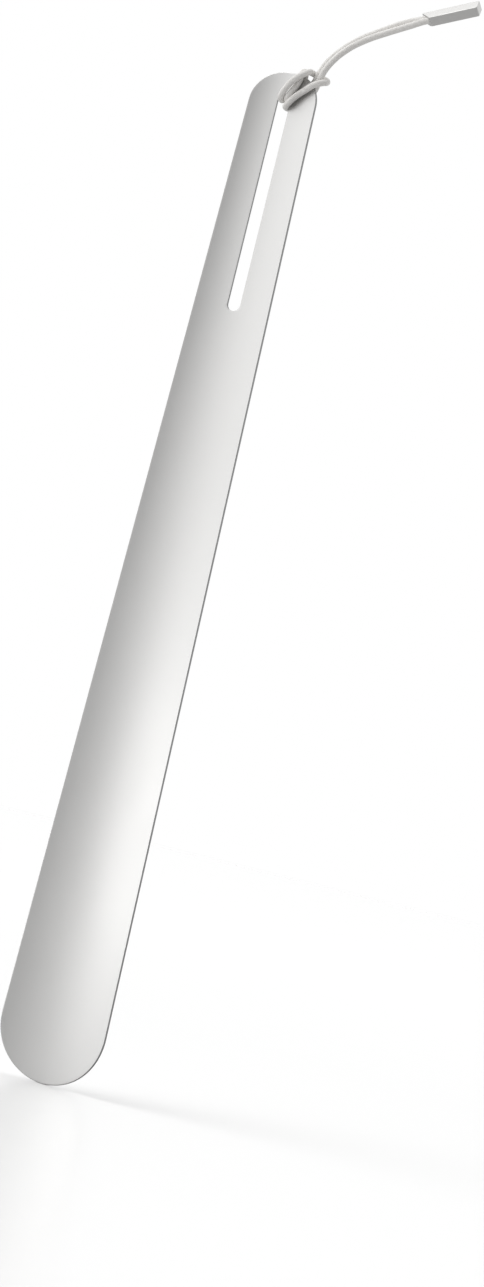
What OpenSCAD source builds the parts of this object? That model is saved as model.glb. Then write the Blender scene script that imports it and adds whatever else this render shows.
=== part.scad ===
// Long shoehorn: one rolled metal sheet with a slot for a cord loop and its end bar.
// +Z runs up the handle, X across the sheet, and the hollow side faces -Y.
// The origin is the upper end of the slot, half way through the sheet.

/* [Sheet] */
// Length over both ends
overall_len = 450; // [420:1:520]
// Radius of the round lower end, half the width of the blade
tip_r = 25; // [22:0.5:28]
// Width of the upper end, before its corners are rounded
grip_w = 32; // [30:0.5:36]
// Radius of the upper corners
corner_r = 14.5; // [13:0.5:14.5]
// Thickness of the sheet
sheet_t = 1.2; // [1:0.1:1.5]
// Radius that the sheet is rolled to at the upper end
roll_r_top = 60; // [50:1:80]
// Radius that the sheet is rolled to at the lower end
roll_r_low = 110; // [90:1:150]

/* [Slot] */
// Width of the slot
slot_w = 6; // [5.9:0.1:7]
// Length of the slot over its round ends
slot_len = 98; // [60:1:120]
// Metal left between the slot and the upper end
slot_inset = 10; // [10:0.5:10.5]

/* [Cord] */
// Diameter of the braided cord
cord_d = 2.8; // [2:0.1:2.8]

/* [End bar] */
// Length of the bar along its longer side
bar_len = 26; // [24:0.5:30]
// Width of the bar, across both cord ends
bar_w = 7.6; // [7:0.1:8]
// Thickness of the bar
bar_t = 4.2; // [3.8:0.1:4.4]
// How far the slanted inner end is set back on the front side
bar_slant = 4.5; // [3:0.5:6]
// Depth of the socket that takes the cord ends, from the longer side
socket_len = 14; // [13:0.5:18]

/* [Hidden] */
$fn = 96;

top_z = slot_inset;
low_z = top_z - overall_len;
slot_r = slot_w / 2;
cord_r = cord_d / 2;
cord_sides = 8;

// Outline: the side line touches the tip circle and the corner circle
corner_x = grip_w / 2 - corner_r;
corner_z = top_z - corner_r;
tip_z = low_z + tip_r;
side_d = norm([corner_x, corner_z - tip_z]);
side_a = atan2(corner_z - tip_z, corner_x) - acos((tip_r - corner_r) / side_d);
side_out = [cos(side_a), sin(side_a)];

// The straight sides stand this far inside the rounds, so that each cut crosses cleanly
skim = 0.01;
side_low = [0, tip_z] + tip_r * side_out - skim * side_out;
side_top = [corner_x, corner_z] + corner_r * side_out - skim * side_out;

// Rolled form: a cone whose one straight line runs down the middle of the sheet
roll_run = 40;
roll_a = atan((roll_r_low - roll_r_top) / overall_len);
roll_k = tan(roll_a);
cut_front = 5;
cut_depth = 20;

// End bar: its inner end, its climb from level, and its turn about its own length
bar_at = [54, -0.5, 39.8];
bar_climb = 19;
bar_turn = 43;
bar_edge = 0.8;
cord_pitch = 3;
sleeve_len = 8;
sleeve_wall = 0.25;
sleeve_play = 0.05;

// The cord's centre line, from the rear run, round the hitch, to the front run
rear_run = [
    [66, 0.6, 45], [59.9, 0.6, 42.9], [53.7, 0.6, 40.8], [48.5, 0.8, 39.3],
    [43.3, 1, 37.3], [33, 1, 32.1], [27.5, 1, 29], [22.6, 1, 25.4], [18.6, 1, 21.5]
];
hitch = [
    [17.1, 1, 19.8], [14.8, 0.9, 16.6], [13.4, 0.9, 13.6], [12.5, 0.9, 11.2],
    [11.7, 1.3, 9], [10.1, 2.2, 6.6], [7.7, 2.8, 3.7], [5, 2.9, 0.9], [2.5, 2.3, -1.5],
    [1.6, 1.1, -2.3], [1.45, -0.2, -2.5], [1.65, -1.6, -2.1], [2.3, -2.4, -0.9],
    [3.3, -2.4, 0.9], [4.7, -2.4, 3.7], [5.7, -2.5, 6.5], [6.1, -2.7, 8.6], [6.2, -2.1, 10.3],
    [6.3, -0.6, 11.2], [6.2, 1, 10.7], [5.9, 2.1, 8.9], [5, 2.3, 6.5], [2.8, 2.4, 3.4],
    [0.4, 2.5, 0.8], [-1.1, 1.8, -1.2], [-1.45, 0.1, -2.4], [-1.45, -1.8, -1.9], [-0.6, -3.2, -0.3],
    [1.1, -4.3, 2.1], [2.8, -5, 4.2], [4.6, -5.4, 6], [6.9, -5.4, 7.8],
    [8.7, -4.3, 9.4], [9.25, -2.2, 10.9], [9.3, 0.4, 11.4], [9.8, 2.8, 11.5], [11.2, 4.3, 11.2],
    [13.7, 4.5, 10.4], [15.9, 3.3, 9.4], [17, 1, 8.1], [17.1, -1.7, 7.1],
    [16, -3.5, 6.1], [13.2, -4, 4.7], [10, -3.4, 2.4], [6.7, -3.3, -0.3],
    [4.3, -3.3, -3], [2.7, -2.7, -4.8], [1.7, -1.4, -5.4], [1.5, 0, -5.5], [1.7, 1.3, -5.4], [2.7, 2.5, -4.9],
    [4.8, 3.2, -3.3], [7.5, 3, -0.9], [10.2, 2.5, 1.8], [12.1, 1.6, 4.4],
    [13.4, 0.2, 6.8], [14.5, -1, 9.2], [15.6, -1.6, 12], [17.3, -1.6, 15.4], [19.4, -1.6, 18.4]
];
front_run = [
    [20.9, -1.6, 20.2], [23.8, -1.6, 23], [27.3, -1.6, 25.7], [33.2, -1.6, 29.2],
    [39.6, -1.6, 32.2], [45, -1.6, 34.6], [50.7, -1.6, 37.1], [54.8, -1.6, 39],
    [60.5, -1.6, 41], [66.6, -1.6, 43.1]
];
end_taper = 0.25;

// A tube along a route; cut_a and cut_b pinch its first and last ring
function unit(v) = v / norm(v);
function lean(p, i) = unit(p[min(i + 1, len(p) - 1)] - p[max(i - 1, 0)]);
function flat(n, d) = unit(n - (n * d) * d);
function sides(p) = [for (i = 0, n = flat([0, 1, 0.2], lean(p, 0)); i < len(p);
    i = i + 1, n = flat(n, lean(p, min(i, len(p) - 1)))) n];
function ring(c, d, n, r) = [for (k = [0 : cord_sides - 1])
    let (a = 360 * k / cord_sides) c + r * (cos(a) * n + sin(a) * cross(d, n))];

module tube(p, cut_a = 1, cut_b = 1) {
    last = len(p) - 1;
    n = sides(p);
    size = [for (i = [0 : last]) cord_r * (i == 0 ? cut_a : i == last ? cut_b : 1)];
    pts = [for (i = [0 : last]) each ring(p[i], lean(p, i), n[i], size[i])];
    walls = [for (i = [0 : last - 1], k = [0 : cord_sides - 1])
        let (a = i * cord_sides, b = (k + 1) % cord_sides)
        each [[a + k, a + cord_sides + k, a + b], [a + b, a + cord_sides + k, a + cord_sides + b]]];
    first_cap = [for (k = [0 : cord_sides - 1]) k];
    last_cap = [for (k = [cord_sides - 1 : -1 : 0]) last * cord_sides + k];
    polyhedron(pts, concat(walls, [first_cap, last_cap]), convexity = 8);
}

module outline() {
    translate([0, tip_z]) circle(tip_r);
    for (s = [-1, 1]) translate([s * corner_x, corner_z]) circle(corner_r);
    polygon([side_low, side_top, [corner_x, top_z - skim], [-corner_x, top_z - skim],
        [-side_top[0], side_top[1]], [-side_low[0], side_low[1]]]);
}

// A solid cone, inset from the back face of the sheet
module roll(inset) {
    translate([0, sheet_t / 2, low_z]) rotate([-roll_a, 0, 0])
        translate([0, -roll_r_low, -roll_run])
        cylinder(h = overall_len + 2 * roll_run,
            r1 = roll_r_low + roll_run * roll_k - inset,
            r2 = roll_r_top - roll_run * roll_k - inset);
}

module slot() {
    for (z = [-slot_r, slot_r - slot_len]) translate([0, z]) circle(slot_r);
    translate([-slot_r, slot_r - slot_len]) square([slot_w, slot_len - slot_w]);
}

module sheet_blade() {
    color("silver") difference() {
        intersection() {
            roll(0);
            translate([0, cut_front, 0]) rotate([90, 0, 0]) linear_extrude(cut_depth)
                difference() {
                    outline();
                    slot();
                }
        }
        roll(sheet_t / cos(roll_a));
    }
}

module cord_hitch() {
    color("gainsboro") tube(hitch, end_taper, end_taper);
}

module cord_run_rear() {
    color("gainsboro") tube(rear_run, 1, end_taper);
}

module cord_run_front() {
    color("gainsboro") tube(front_run, end_taper, 1);
}

// Puts a shape drawn along X from the origin in the bar's place
module at_bar() {
    translate(bar_at) rotate([0, -bar_climb, 0]) rotate([bar_turn, 0, 0]) children();
}

// A long round-sided prism along X that fits both cord ends side by side
module twin_round(r, x, run) {
    translate([x, 0, 0]) rotate([90, 0, 90]) linear_extrude(run) {
        for (s = [-1, 1]) translate([s * cord_pitch / 2, 0]) circle(r);
        translate([-cord_pitch / 2, -r]) square([cord_pitch, 2 * r]);
    }
}

// Plan of the bar, with small round corners and a slanted inner end on the front side
module bar_plan() {
    hull() {
        translate([bar_len - bar_edge, bar_w / 2 - bar_edge]) circle(bar_edge, $fn = 32);
        translate([bar_len - bar_edge, bar_edge - bar_w / 2]) circle(bar_edge, $fn = 32);
        translate([bar_edge, bar_w / 2 - bar_edge]) circle(bar_edge, $fn = 32);
        translate([bar_slant + bar_edge, bar_edge - bar_w / 2]) circle(bar_edge, $fn = 32);
    }
}

module end_bar() {
    color("lightgray") at_bar() difference() {
        translate([0, 0, -bar_t / 2]) linear_extrude(bar_t) bar_plan();
        twin_round(cord_r + sleeve_play + sleeve_wall, -1, socket_len + 1);
    }
}

module crimp_sleeve() {
    color("gray") at_bar() difference() {
        twin_round(cord_r + sleeve_play + sleeve_wall, socket_len - sleeve_len, sleeve_len);
        twin_round(cord_r + sleeve_play, socket_len - sleeve_len - 1, sleeve_len + 2);
    }
}

sheet_blade();
cord_hitch();
cord_run_rear();
cord_run_front();
end_bar();
crimp_sleeve();
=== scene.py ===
import math

import bmesh
import bpy
from mathutils import Matrix, Vector


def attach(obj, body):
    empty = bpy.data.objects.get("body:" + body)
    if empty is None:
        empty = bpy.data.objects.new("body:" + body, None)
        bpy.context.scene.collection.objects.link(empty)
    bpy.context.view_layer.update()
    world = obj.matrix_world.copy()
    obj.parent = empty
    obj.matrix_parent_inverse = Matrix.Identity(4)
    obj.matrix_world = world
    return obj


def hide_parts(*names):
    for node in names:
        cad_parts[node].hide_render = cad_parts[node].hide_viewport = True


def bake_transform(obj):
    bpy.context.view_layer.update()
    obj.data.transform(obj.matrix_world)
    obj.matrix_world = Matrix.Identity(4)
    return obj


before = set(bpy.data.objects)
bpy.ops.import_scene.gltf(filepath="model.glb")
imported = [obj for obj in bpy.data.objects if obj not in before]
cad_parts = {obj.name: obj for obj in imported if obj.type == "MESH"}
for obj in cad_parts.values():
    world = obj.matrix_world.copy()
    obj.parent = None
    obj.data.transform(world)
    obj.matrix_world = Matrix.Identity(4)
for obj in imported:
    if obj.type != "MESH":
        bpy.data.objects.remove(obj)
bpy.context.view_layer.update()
scene = bpy.context.scene
mm = 0.001


def blendBetween(low, high, share):
    return low + (high - low) * share


def linkPiece(name, bm):
    mesh = bpy.data.meshes.new(name)
    bm.to_mesh(mesh)
    bm.free()
    piece = bpy.data.objects.new(name, mesh)
    scene.collection.objects.link(piece)
    return piece


# camera, a little below the middle of the sheet and turned towards the cord's side
cameraView = {
    "azimuth": 22.80,        # degrees round from straight in front of the hollow face
    "elevation": -4.00,
    "roll": 13.73,
    "distance": 1.2,
    "target": Vector((41.33, 0, -238.6)) * mm,
    "lens": 210.2,
    "sensor": 36.0,
}

around, above = math.radians(cameraView["azimuth"]), math.radians(cameraView["elevation"])
outward = Vector((math.sin(around) * math.cos(above), -math.cos(around) * math.cos(above), math.sin(above)))
cameraData = bpy.data.cameras.new("camera")
cameraData.sensor_fit = "HORIZONTAL"
cameraData.sensor_width = cameraView["sensor"]
cameraData.lens = cameraView["lens"]
cameraData.clip_start = 0.05
camera = bpy.data.objects.new("camera", cameraData)
scene.collection.objects.link(camera)
camera.matrix_world = (
    Matrix.Translation(cameraView["target"] + outward * cameraView["distance"])
    @ outward.to_track_quat("Z", "Y").to_matrix().to_4x4()
    @ Matrix.Rotation(math.radians(cameraView["roll"]), 4, "Z")
)
scene.camera = camera
print("camera placed")


# one braided cord: from the end bar, round the hitch, and back to the bar. Points are in millimetres
cord = {
    "diameter": 2.8,
    "step": 0.3,             # distance between rings
    "easing": 6,             # passes that open up the tight turns
    "sideSteps": 18,         # 40 sides
    "strands": 6,            # strands each way round the braid
    "pitch": 8.0,            # length in which one strand goes once round
    "relief": 0.035,
    "crownShape": 0.6,       # below 1 makes each strand flatter on top
    "crownMiddle": 0.75,     # keeps the mean diameter as it is
    "routeRear": [
        (66, 0.6, 45), (59.9, 0.6, 42.9), (53.7, 0.6, 40.8), (48.5, 0.8, 39.3),
        (43.3, 1, 37.3), (33, 1, 32.1), (27.5, 1, 29), (22.6, 1, 25.4), (18.6, 1, 21.5),
    ],
    "routeHitch": [
        (17.1, 1, 19.8), (14.8, 0.9, 16.6), (13.4, 0.9, 13.6), (12.5, 0.9, 11.2),
        (11.7, 1.3, 9), (10.1, 2.2, 6.6), (7.7, 2.8, 3.7), (5, 2.9, 0.9), (2.5, 2.3, -1.5),
        (1.6, 1.1, -2.3), (1.45, -0.2, -2.5), (1.65, -1.6, -2.1), (2.3, -2.4, -0.9),
        (3.3, -2.4, 0.9), (4.7, -2.4, 3.7), (5.7, -2.5, 6.5), (6.1, -2.7, 8.6), (6.2, -2.1, 10.3),
        (6.3, -0.6, 11.2), (6.2, 1, 10.7), (5.9, 2.1, 8.9), (5, 2.3, 6.5), (2.8, 2.4, 3.4),
        (0.4, 2.5, 0.8), (-1.1, 1.8, -1.2), (-1.45, 0.1, -2.4), (-1.45, -1.8, -1.9), (-0.6, -3.2, -0.3),
        (1.1, -4.3, 2.1), (2.8, -5, 4.2), (4.6, -5.4, 6), (6.9, -5.4, 7.8),
        (8.7, -4.3, 9.4), (9.25, -2.2, 10.9), (9.3, 0.4, 11.4), (9.8, 2.8, 11.5), (11.2, 4.3, 11.2),
        (13.7, 4.5, 10.4), (15.9, 3.3, 9.4), (17, 1, 8.1), (17.1, -1.7, 7.1),
        (16, -3.5, 6.1), (13.2, -4, 4.7), (10, -3.4, 2.4), (6.7, -3.3, -0.3),
        (4.3, -3.3, -3), (2.7, -2.7, -4.8), (1.7, -1.4, -5.4), (1.5, 0, -5.5),
        (1.7, 1.3, -5.4), (2.7, 2.5, -4.9),
        (4.8, 3.2, -3.3), (7.5, 3, -0.9), (10.2, 2.5, 1.8), (12.1, 1.6, 4.4),
        (13.4, 0.2, 6.8), (14.5, -1, 9.2), (15.6, -1.6, 12), (17.3, -1.6, 15.4), (19.4, -1.6, 18.4),
    ],
    "routeFront": [
        (20.9, -1.6, 20.2), (23.8, -1.6, 23), (27.3, -1.6, 25.7), (33.2, -1.6, 29.2),
        (39.6, -1.6, 32.2), (45, -1.6, 34.6), (50.7, -1.6, 37.1), (54.8, -1.6, 39),
        (60.5, -1.6, 41), (66.6, -1.6, 43.1),
    ],
    "bendStart": Vector((16.5, 0, 16.5)) * mm,    # two points along the loop, just above the hitch
    "bendEnd": Vector((26, 0, 28.5)) * mm,
}


def curveThrough(points, step):
    fine = []
    for i in range(len(points) - 1):
        before = points[max(i - 1, 0)]
        here, there = points[i], points[i + 1]
        after = points[min(i + 2, len(points) - 1)]
        cuts = max(2, round((there - here).length / step))
        for k in range(cuts):
            t = k / cuts
            fine.append(0.5 * (2 * here + (there - before) * t
                               + (2 * before - 5 * here + 4 * there - after) * t ** 2
                               + (3 * here - before - 3 * there + after) * t ** 3))
    return fine + [points[-1]]


def eased(points, passes):
    for _ in range(passes):
        middle = [(a + b * 2 + c) / 4 for a, b, c in zip(points, points[1:], points[2:])]
        points = [points[0]] + middle + [points[-1]]
    return points


def lengthOf(points):
    return sum((b - a).length for a, b in zip(points, points[1:]))


route = [Vector(p) * mm for p in cord["routeRear"] + cord["routeHitch"] + cord["routeFront"]]
cordPath = eased(curveThrough(route, cord["step"] * mm), cord["easing"])
cordLength = lengthOf(cordPath)

line = bpy.data.curves.new("cordLine", "CURVE")
line.dimensions = "3D"
line.bevel_depth = cord["diameter"] / 2 * mm
line.bevel_resolution = cord["sideSteps"]
line.use_fill_caps = True
spline = line.splines.new("POLY")
spline.points.add(len(cordPath) - 1)
for point, place in zip(spline.points, cordPath):
    point.co = (*place, 1)
lineObject = bpy.data.objects.new("cordLine", line)
scene.collection.objects.link(lineObject)
bpy.context.view_layer.update()
cordMesh = bpy.data.meshes.new_from_object(lineObject.evaluated_get(bpy.context.evaluated_depsgraph_get()))
bpy.data.objects.remove(lineObject)
cordPiece = bpy.data.objects.new("braided_cord", cordMesh)
scene.collection.objects.link(cordPiece)

# the braid: two sets of strands that wind opposite ways and pass over each other in turn
aroundAndAlong = {}
for loop in cordMesh.loops:
    aroundAndAlong[loop.vertex_index] = cordMesh.uv_layers[0].data[loop.index].uv.copy()
turns = cordLength / mm / cord["pitch"]
lifts = []
for vertex in cordMesh.vertices:
    u, v = aroundAndAlong[vertex.index]
    right = cord["strands"] * (u + v * turns)
    left = cord["strands"] * (u - v * turns)
    over = math.cos(math.pi * (right + left)) * math.cos(math.pi * (right - left))
    crown = abs(math.sin(math.pi * right)) if over > 0 else abs(math.sin(math.pi * left))
    lifts.append(vertex.normal * cord["relief"] * mm * (crown ** cord["crownShape"] - cord["crownMiddle"]))
for vertex, lift in zip(cordMesh.vertices, lifts):
    vertex.co += lift
cordMesh.shade_smooth()
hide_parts("cord_hitch", "cord_run_rear", "cord_run_front")
print("cord made,", round(cordLength / mm), "mm long")


# the end bar: a flat bar with a slanted inner end and a socket for both cord ends
endBar = {
    "length": 26.0,
    "width": 7.6,
    "thickness": 4.2,
    "slant": 4.5,
    "cornerRound": 0.8,
    "edgeRound": 0.28,
    "socketWall": 0.42,
    "socketDepth": 5.5,
    "place": Vector((54, -0.5, 39.8)) * mm,
    "climb": 19,
    "turn": 43,
}

halfWidth = endBar["width"] / 2
bm = bmesh.new()
corners = [bm.verts.new((x * mm, y * mm, -endBar["thickness"] / 2 * mm)) for x, y in (
    (0, halfWidth), (endBar["slant"], -halfWidth),
    (endBar["length"], -halfWidth), (endBar["length"], halfWidth))]
plan = bm.faces.new(corners)
raised = bmesh.ops.extrude_face_region(bm, geom=[plan])["geom"]
bmesh.ops.translate(bm, verts=[g for g in raised if isinstance(g, bmesh.types.BMVert)],
                    vec=(0, 0, endBar["thickness"] * mm))
bmesh.ops.recalc_face_normals(bm, faces=bm.faces[:])
upright = [e for e in bm.edges if abs(e.verts[0].co.z - e.verts[1].co.z) > mm]
bmesh.ops.bevel(bm, geom=upright, affect="EDGES", offset=endBar["cornerRound"] * mm, segments=5,
                profile=0.5, material=-1)
bm.normal_update()
innerEnd = max((f for f in bm.faces if f.normal.x < -0.5), key=lambda f: f.calc_area())
bmesh.ops.inset_individual(bm, faces=[innerEnd], thickness=endBar["socketWall"] * mm)
deeper = bmesh.ops.extrude_face_region(bm, geom=[innerEnd])["geom"]
bmesh.ops.translate(bm, verts=[g for g in deeper if isinstance(g, bmesh.types.BMVert)],
                    vec=(endBar["socketDepth"] * mm, 0, 0))
bmesh.ops.recalc_face_normals(bm, faces=bm.faces[:])
sharp = [e for e in bm.edges if len(e.link_faces) == 2 and e.calc_face_angle() > math.radians(50)]
bmesh.ops.bevel(bm, geom=sharp, affect="EDGES", offset=endBar["edgeRound"] * mm, segments=4,
                profile=0.5, material=-1, clamp_overlap=True)
bmesh.ops.recalc_face_normals(bm, faces=bm.faces[:])
placing = (Matrix.Translation(endBar["place"])
           @ Matrix.Rotation(math.radians(-endBar["climb"]), 4, "Y")
           @ Matrix.Rotation(math.radians(endBar["turn"]), 4, "X"))
bmesh.ops.transform(bm, matrix=placing, verts=bm.verts[:])
barPiece = linkPiece("end_bar_shell", bm)
barPiece.data.shade_smooth()
barPiece.modifiers.new("flatFaces", "WEIGHTED_NORMAL").keep_sharp = True
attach(barPiece, "loop")
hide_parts("end_bar")
print("end bar made")


# the sheet: half of it is drawn flat, rolled to a trough, mirrored, and then given its thickness
sheet = {
    "low": -440.0,           # tip of the blade
    "top": 10.0,
    "tipRadius": 25.0,
    "halfGrip": 16.0,
    "cornerRadius": 14.5,
    "thickness": 1.2,
    "rollTop": 60.7,         # radius of the trough at each end
    "rollLow": 110.7,
    "slotRadius": 3.0,
    "slotLength": 98.0,
    "edgeRound": 0.3,
    "columns": 14,
    "spare": 3.0,            # how far rows of the mesh start above the tip and beyond the slot's foot
    "headRows": -14.0,       # closer rows from here up, where the cord crosses
}

cornerX = sheet["halfGrip"] - sheet["cornerRadius"]
cornerZ = sheet["top"] - sheet["cornerRadius"]
tipZ = sheet["low"] + sheet["tipRadius"]
sideLean = (math.atan2(cornerZ - tipZ, cornerX)
            - math.acos((sheet["tipRadius"] - sheet["cornerRadius"]) / math.hypot(cornerX, cornerZ - tipZ)))


def arc(x, z, radius, start, end, count):
    turnsAt = [blendBetween(start, end, i / count) for i in range(count + 1)]
    return [(x + radius * math.cos(a), z + radius * math.sin(a)) for a in turnsAt]


def straight(start, end, count):
    return [(blendBetween(start[0], end[0], i / count), blendBetween(start[1], end[1], i / count))
            for i in range(1, count + 1)]


quarter = math.pi / 2
tipArc = arc(0, tipZ, sheet["tipRadius"], -quarter, sideLean, 28)
cornerArc = arc(cornerX, cornerZ, sheet["cornerRadius"], sideLean, quarter, 18)
slotTop = -sheet["slotRadius"]
slotFoot = sheet["slotRadius"] - sheet["slotLength"]
footArc = arc(0, slotFoot, sheet["slotRadius"], -quarter, 0, 10)
headArc = arc(0, slotTop, sheet["slotRadius"], 0, quarter, 10)


def sideAt(z):
    foot = tipArc[-1]
    return foot[0] - (z - foot[1]) * math.tan(sideLean), z


def chain(bm, outline):
    verts = [bm.verts.new((x * mm, 0, z * mm)) for x, z in outline]
    return [bm.edges.new(pair) for pair in zip(verts, verts[1:])]


belowFoot = slotFoot - sheet["slotRadius"] - sheet["spare"]
aboveFoot = slotFoot + sheet["spare"]
slotBend = (sheet["slotRadius"], sheet["headRows"])
middleLow = (0, sheet["low"] + sheet["spare"])
outer = (tipArc
         + straight(tipArc[-1], sideAt(belowFoot), 70)
         + straight(sideAt(belowFoot), sideAt(aboveFoot), 10)
         + straight(sideAt(aboveFoot), cornerArc[0], 24)
         + cornerArc[1:]
         + straight(cornerArc[-1], (0, sheet["top"]), 2))
inner = ([middleLow]
         + straight(middleLow, (0, tipZ), 28)
         + straight((0, tipZ), footArc[0], 70)
         + footArc[1:]
         + straight(footArc[-1], slotBend, 24)
         + straight(slotBend, headArc[0], 10)
         + headArc[1:])

bm = bmesh.new()
outerEdges, innerEdges = chain(bm, outer), chain(bm, inner)
bmesh.ops.bridge_loops(bm, edges=outerEdges + innerEdges)
across = [e for e in bm.edges if e not in set(outerEdges) | set(innerEdges)]
bmesh.ops.subdivide_edges(bm, edges=across, cuts=sheet["columns"] - 1, use_grid_fill=True)
for v in bm.verts:
    radius = blendBetween(sheet["rollLow"], sheet["rollTop"],
                          (v.co.z / mm - sheet["low"]) / (sheet["top"] - sheet["low"])) * mm
    v.co.y = math.sqrt(radius ** 2 - v.co.x ** 2) - radius
bmesh.ops.mirror(bm, geom=bm.verts[:] + bm.edges[:] + bm.faces[:], axis="X", merge_dist=0.01 * mm)
bmesh.ops.remove_doubles(bm, verts=bm.verts[:], dist=0.01 * mm)
bmesh.ops.recalc_face_normals(bm, faces=bm.faces[:])
if sum(f.normal.y for f in bm.faces) < 0:
    bmesh.ops.reverse_faces(bm, faces=bm.faces[:])
sheetPiece = linkPiece("rolled_sheet", bm)
sheetPiece.data.shade_smooth()
wall = sheetPiece.modifiers.new("thickness", "SOLIDIFY")
wall.thickness = sheet["thickness"] * mm
wall.offset = 0
wall.use_even_offset = True
# the rim faces take the second material: the sheet's metal painted darker, as painted shade on the edge of
# the sheet
wall.material_offset_rim = 1
rounding = sheetPiece.modifiers.new("edgeRound", "BEVEL")
rounding.width = sheet["edgeRound"] * mm
rounding.segments = 3
rounding.limit_method = "ANGLE"
rounding.angle_limit = math.radians(40)
sheetPiece.modifiers.new("evenShading", "WEIGHTED_NORMAL").keep_sharp = True
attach(sheetPiece, "shoehorn")
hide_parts("sheet_blade")
print("sheet made")


# materials
def newMaterial(name):
    material = bpy.data.materials.new(name)
    material.use_nodes = True
    material.node_tree.nodes.clear()
    return material, material.node_tree.nodes, material.node_tree.links


def satinMetal(name, colour, roughness, grainSize, grainHeight, brush):
    material, nodes, links = newMaterial(name)

    coords = nodes.new("ShaderNodeTexCoord")
    coords.label = "where on the piece"
    stretch = nodes.new("ShaderNodeMapping")
    stretch.label = "stretch the finish along the sheet"
    grain = nodes.new("ShaderNodeTexNoise")
    grain.label = "fine blasted grain"
    clouds = nodes.new("ShaderNodeTexNoise")
    clouds.label = "slow change of sheen"
    sheen = nodes.new("ShaderNodeMapRange")
    sheen.label = "roughness between its limits"
    tone = nodes.new("ShaderNodeMapRange")
    tone.label = "faint change of tone"
    tint = nodes.new("ShaderNodeMix")
    tint.label = "darker and lighter metal"
    bump = nodes.new("ShaderNodeBump")
    bump.label = "grain stands out of the surface"
    metal = nodes.new("ShaderNodeBsdfPrincipled")
    metal.label = "satin metal"
    output = nodes.new("ShaderNodeOutputMaterial")
    output.label = "surface"

    grainFrame = nodes.new("NodeFrame")
    grainFrame.label = "grain"
    sheenFrame = nodes.new("NodeFrame")
    sheenFrame.label = "sheen and tone"
    for node in (grain, bump):
        node.parent = grainFrame
    for node in (clouds, sheen, tone, tint):
        node.parent = sheenFrame
    for node, place in ((coords, (-1100, 0)), (stretch, (-900, 0)),
                        (grain, (-650, -300)), (clouds, (-650, 200)),
                        (sheen, (-400, 100)), (tone, (-400, 350)), (tint, (-150, 350)), (bump, (-150, -300)),
                        (metal, (150, 100)), (output, (450, 100))):
        node.location = place

    stretch.inputs["Scale"].default_value = (1, 1, brush)
    grain.inputs["Scale"].default_value = 1 / (grainSize * mm)
    grain.inputs["Detail"].default_value = 3
    clouds.inputs["Scale"].default_value = 45
    clouds.inputs["Detail"].default_value = 2
    sheen.inputs["To Min"].default_value = roughness - 0.04
    sheen.inputs["To Max"].default_value = roughness + 0.04
    tone.inputs["From Min"].default_value = 0.3
    tone.inputs["From Max"].default_value = 0.7
    tint.data_type = "RGBA"
    tint.inputs["A"].default_value = (*[c * 0.97 for c in colour], 1)
    tint.inputs["B"].default_value = (*colour, 1)
    bump.inputs["Strength"].default_value = 0.25
    bump.inputs["Distance"].default_value = grainHeight * mm
    metal.inputs["Metallic"].default_value = 1.0

    links.new(coords.outputs["Object"], stretch.inputs["Vector"])
    links.new(stretch.outputs["Vector"], grain.inputs["Vector"])
    links.new(stretch.outputs["Vector"], clouds.inputs["Vector"])
    links.new(clouds.outputs["Fac"], sheen.inputs["Value"])
    links.new(clouds.outputs["Fac"], tone.inputs["Value"])
    links.new(tone.outputs["Result"], tint.inputs["Factor"])
    links.new(tint.outputs["Result"], metal.inputs["Base Color"])
    links.new(sheen.outputs["Result"], metal.inputs["Roughness"])
    links.new(grain.outputs["Fac"], bump.inputs["Height"])
    links.new(bump.outputs["Normal"], metal.inputs["Normal"])
    links.new(metal.outputs["BSDF"], output.inputs["Surface"])
    return material


def braidCloth():
    material, nodes, links = newMaterial("braided cord")

    coords = nodes.new("ShaderNodeTexCoord")
    coords.label = "round and along the cord"
    yarns = nodes.new("ShaderNodeMapping")
    yarns.label = "yarns in each strand"
    fibre = nodes.new("ShaderNodeTexNoise")
    fibre.label = "loose fibres"
    soil = nodes.new("ShaderNodeTexNoise")
    soil.label = "uneven dye"
    tint = nodes.new("ShaderNodeMix")
    tint.label = "warm and pale yarn"
    bump = nodes.new("ShaderNodeBump")
    bump.label = "fibres stand up"
    cloth = nodes.new("ShaderNodeBsdfPrincipled")
    cloth.label = "matt yarn"
    output = nodes.new("ShaderNodeOutputMaterial")
    output.label = "surface"

    fibreFrame = nodes.new("NodeFrame")
    fibreFrame.label = "fibres"
    dyeFrame = nodes.new("NodeFrame")
    dyeFrame.label = "colour"
    for node in (yarns, fibre, bump):
        node.parent = fibreFrame
    for node in (soil, tint):
        node.parent = dyeFrame
    for node, place in ((coords, (-1000, 0)), (yarns, (-800, -200)),
                        (fibre, (-600, -200)), (soil, (-600, 200)),
                        (tint, (-350, 200)), (bump, (-350, -200)), (cloth, (-50, 0)), (output, (250, 0))):
        node.location = place

    yarns.inputs["Scale"].default_value = (60, 900, 1)
    fibre.inputs["Scale"].default_value = 1
    fibre.inputs["Detail"].default_value = 3
    soil.inputs["Scale"].default_value = 900
    tint.data_type = "RGBA"
    tint.inputs["A"].default_value = (0.68, 0.66, 0.635, 1)
    tint.inputs["B"].default_value = (0.88, 0.87, 0.85, 1)
    bump.inputs["Strength"].default_value = 0.25
    bump.inputs["Distance"].default_value = 0.05 * mm
    cloth.inputs["Roughness"].default_value = 0.7
    cloth.inputs["Sheen Weight"].default_value = 0.25
    cloth.inputs["Sheen Roughness"].default_value = 0.5

    links.new(coords.outputs["UV"], yarns.inputs["Vector"])
    links.new(yarns.outputs["Vector"], fibre.inputs["Vector"])
    links.new(coords.outputs["Object"], soil.inputs["Vector"])
    links.new(soil.outputs["Fac"], tint.inputs["Factor"])
    links.new(tint.outputs["Result"], cloth.inputs["Base Color"])
    links.new(fibre.outputs["Fac"], bump.inputs["Height"])
    links.new(bump.outputs["Normal"], cloth.inputs["Normal"])
    links.new(cloth.outputs["BSDF"], output.inputs["Surface"])
    return material


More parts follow.
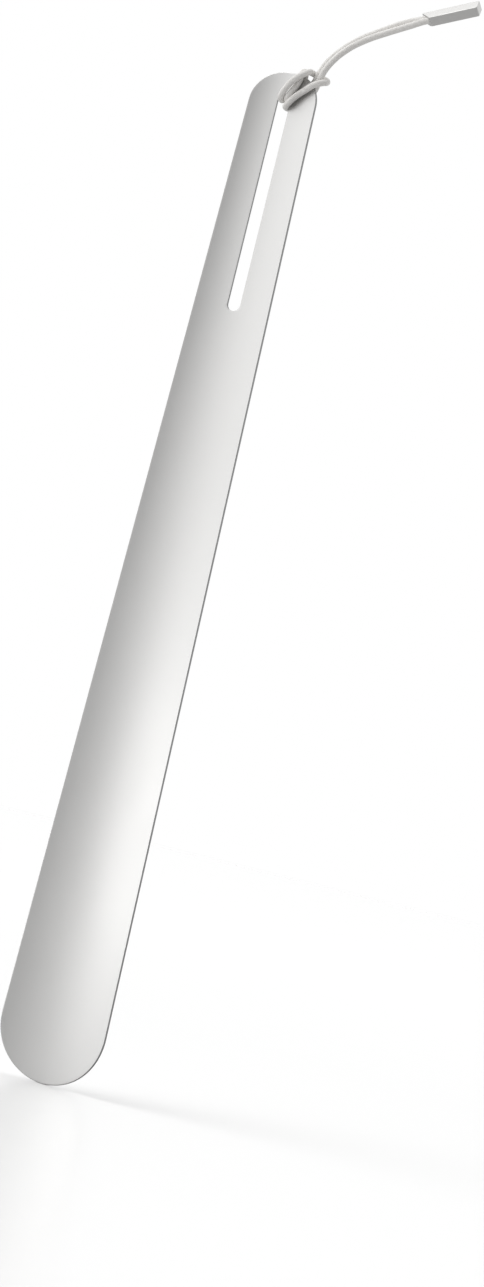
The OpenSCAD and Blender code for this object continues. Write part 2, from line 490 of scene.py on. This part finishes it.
sheetFace = satinMetal("satin sheet", (0.62, 0.617, 0.61), 0.40, 0.25, 0.03, 0.5)
# the edge material is the sheet's metal at about half its brightness: painted shade for the edge faces that
# turn away from the light
edgePaintedShade = satinMetal("cut edge, painted shade", (0.32, 0.32, 0.32), 0.45, 0.2, 0.03, 1.0)
barMetal = satinMetal("satin bar", (0.62, 0.615, 0.605), 0.42, 0.2, 0.03, 1.0)
sleeveMetal = satinMetal("drawn sleeve", (0.62, 0.62, 0.63), 0.35, 0.3, 0.02, 1.0)
sheetPiece.data.materials.append(sheetFace)
sheetPiece.data.materials.append(edgePaintedShade)
barPiece.data.materials.append(barMetal)
cordMesh.materials.clear()
cordMesh.materials.append(braidCloth())
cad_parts["crimp_sleeve"].data.materials.clear()
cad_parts["crimp_sleeve"].data.materials.append(sleeveMetal)
print("materials made")

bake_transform(cordPiece)


# floor and light
studio = {
    "floorSize": 30.0,
    "floorSeen": (0.88, 0.88, 0.88, 1),      # the colour that the camera sees
    "floorLit": (0.50, 0.50, 0.50, 1),       # the colour that throws light back at the object
    "backdrop": 1.0,         # what the camera sees behind everything
    "room": 1.0,             # light from behind
    "shadedSide": 0.22,      # light from the front on the cord's side
    "brightSide": 1.54,      # light from the front on the other side
    "brightTowards": Vector((-0.94, -0.34, 0)),
    "topLight": 1.0,         # a broad sun from above, on the bright side
    "topLightSpread": 40,
    "topLightFrom": Vector((-0.5, -0.25, 1)),
    "lowPanel": 0.95,        # a panel low down in front, for the blade
    "lowPanelSize": (0.5, 0.3),
    "lowPanelAt": Vector((-0.56, -0.58, -0.42)),
    "lowPanelTowards": Vector((0, 0, -0.46)),
}

bm = bmesh.new()
bmesh.ops.create_grid(bm, x_segments=1, y_segments=1, size=studio["floorSize"] / 2)
bmesh.ops.translate(bm, verts=bm.verts[:], vec=(0, 0, sheet["low"] * mm))
floor = linkPiece("floor", bm)
floorMaterial, nodes, links = newMaterial("pale floor")
board = nodes.new("ShaderNodeBsdfPrincipled")
board.label = "pale board"
duller = nodes.new("ShaderNodeBsdfDiffuse")
duller.label = "less light thrown up from it"
path = nodes.new("ShaderNodeLightPath")
path.label = "seen directly or not"
seen = nodes.new("ShaderNodeMixShader")
seen.label = "pale where it is seen"
output = nodes.new("ShaderNodeOutputMaterial")
output.label = "surface"
for node, place in ((path, (-300, 300)), (duller, (-300, 0)), (board, (-300, -150)),
                    (seen, (0, 0)), (output, (200, 0))):
    node.location = place
board.inputs["Base Color"].default_value = studio["floorSeen"]
board.inputs["Roughness"].default_value = 0.25
board.inputs["Specular IOR Level"].default_value = 0.3
duller.inputs["Color"].default_value = studio["floorLit"]
links.new(path.outputs["Is Camera Ray"], seen.inputs["Fac"])
links.new(duller.outputs["BSDF"], seen.inputs[1])
links.new(board.outputs["BSDF"], seen.inputs[2])
links.new(seen.outputs["Shader"], output.inputs["Surface"])
floor.data.materials.append(floorMaterial)

world = bpy.data.worlds.new("studio")
world.use_nodes = True
nodes, links = world.node_tree.nodes, world.node_tree.links
nodes.clear()
towards = nodes.new("ShaderNodeTexCoord")
towards.label = "direction"
sideways = nodes.new("ShaderNodeVectorMath")
sideways.label = "how far to the bright side"
sideLight = nodes.new("ShaderNodeMapRange")
sideLight.label = "shaded side to bright side"
split = nodes.new("ShaderNodeSeparateXYZ")
split.label = "front or back"
inFront = nodes.new("ShaderNodeMapRange")
inFront.label = "only in front"
strength = nodes.new("ShaderNodeMix")
strength.label = "room or side light"
dome = nodes.new("ShaderNodeBackground")
dome.label = "light on the object"
backdrop = nodes.new("ShaderNodeBackground")
backdrop.label = "white backdrop"
path = nodes.new("ShaderNodeLightPath")
path.label = "seen directly or not"
seen = nodes.new("ShaderNodeMixShader")
seen.label = "backdrop where it is seen"
output = nodes.new("ShaderNodeOutputWorld")
output.label = "world"
lightFrame = nodes.new("NodeFrame")
lightFrame.label = "soft light, brighter on one side"
for node in (towards, sideways, sideLight, split, inFront, strength, dome):
    node.parent = lightFrame
for node, place in ((towards, (-1000, 0)), (sideways, (-800, 150)), (sideLight, (-600, 150)),
                    (split, (-800, -150)), (inFront, (-600, -150)), (strength, (-350, 0)),
                    (dome, (-150, 0)), (backdrop, (-150, -200)),
                    (path, (-150, 350)), (seen, (100, 0)), (output, (300, 0))):
    node.location = place

sideways.operation = "DOT_PRODUCT"
sideways.inputs[1].default_value = studio["brightTowards"]
sideLight.interpolation_type = "SMOOTHSTEP"
sideLight.inputs["From Min"].default_value = 0.0
sideLight.inputs["From Max"].default_value = 0.88
sideLight.inputs["To Min"].default_value = studio["shadedSide"]
sideLight.inputs["To Max"].default_value = studio["brightSide"]
inFront.interpolation_type = "SMOOTHSTEP"
inFront.inputs["From Min"].default_value = 0.1
inFront.inputs["From Max"].default_value = -0.35
strength.inputs["A"].default_value = studio["room"]
backdrop.inputs["Strength"].default_value = studio["backdrop"]
for shade in (dome, backdrop):
    shade.inputs["Color"].default_value = (1, 1, 1, 1)

links.new(towards.outputs["Generated"], sideways.inputs[0])
links.new(towards.outputs["Generated"], split.inputs["Vector"])
links.new(sideways.outputs["Value"], sideLight.inputs["Value"])
links.new(split.outputs["Y"], inFront.inputs["Value"])
links.new(inFront.outputs["Result"], strength.inputs["Factor"])
links.new(sideLight.outputs["Result"], strength.inputs["B"])
links.new(strength.outputs["Result"], dome.inputs["Strength"])
links.new(path.outputs["Is Camera Ray"], seen.inputs["Fac"])
links.new(dome.outputs["Background"], seen.inputs[1])
links.new(backdrop.outputs["Background"], seen.inputs[2])
links.new(seen.outputs["Shader"], output.inputs["Surface"])
scene.world = world
scene.view_settings.view_transform = "Standard"

topLight = bpy.data.lights.new("topLight", "SUN")
topLight.energy = studio["topLight"]
topLight.angle = math.radians(studio["topLightSpread"])
topLightObject = bpy.data.objects.new("topLight", topLight)
scene.collection.objects.link(topLightObject)
topLightObject.matrix_world = studio["topLightFrom"].to_track_quat("Z", "Y").to_matrix().to_4x4()

lowPanel = bpy.data.lights.new("lowPanel", "AREA")
lowPanel.shape = "RECTANGLE"
lowPanel.size, lowPanel.size_y = studio["lowPanelSize"]
lowPanel.energy = studio["lowPanel"]
lowPanelObject = bpy.data.objects.new("lowPanel", lowPanel)
scene.collection.objects.link(lowPanelObject)
lowPanelObject.matrix_world = (
    Matrix.Translation(studio["lowPanelAt"])
    @ (studio["lowPanelAt"] - studio["lowPanelTowards"]).to_track_quat("Z", "Y").to_matrix().to_4x4())
print("floor and light made")
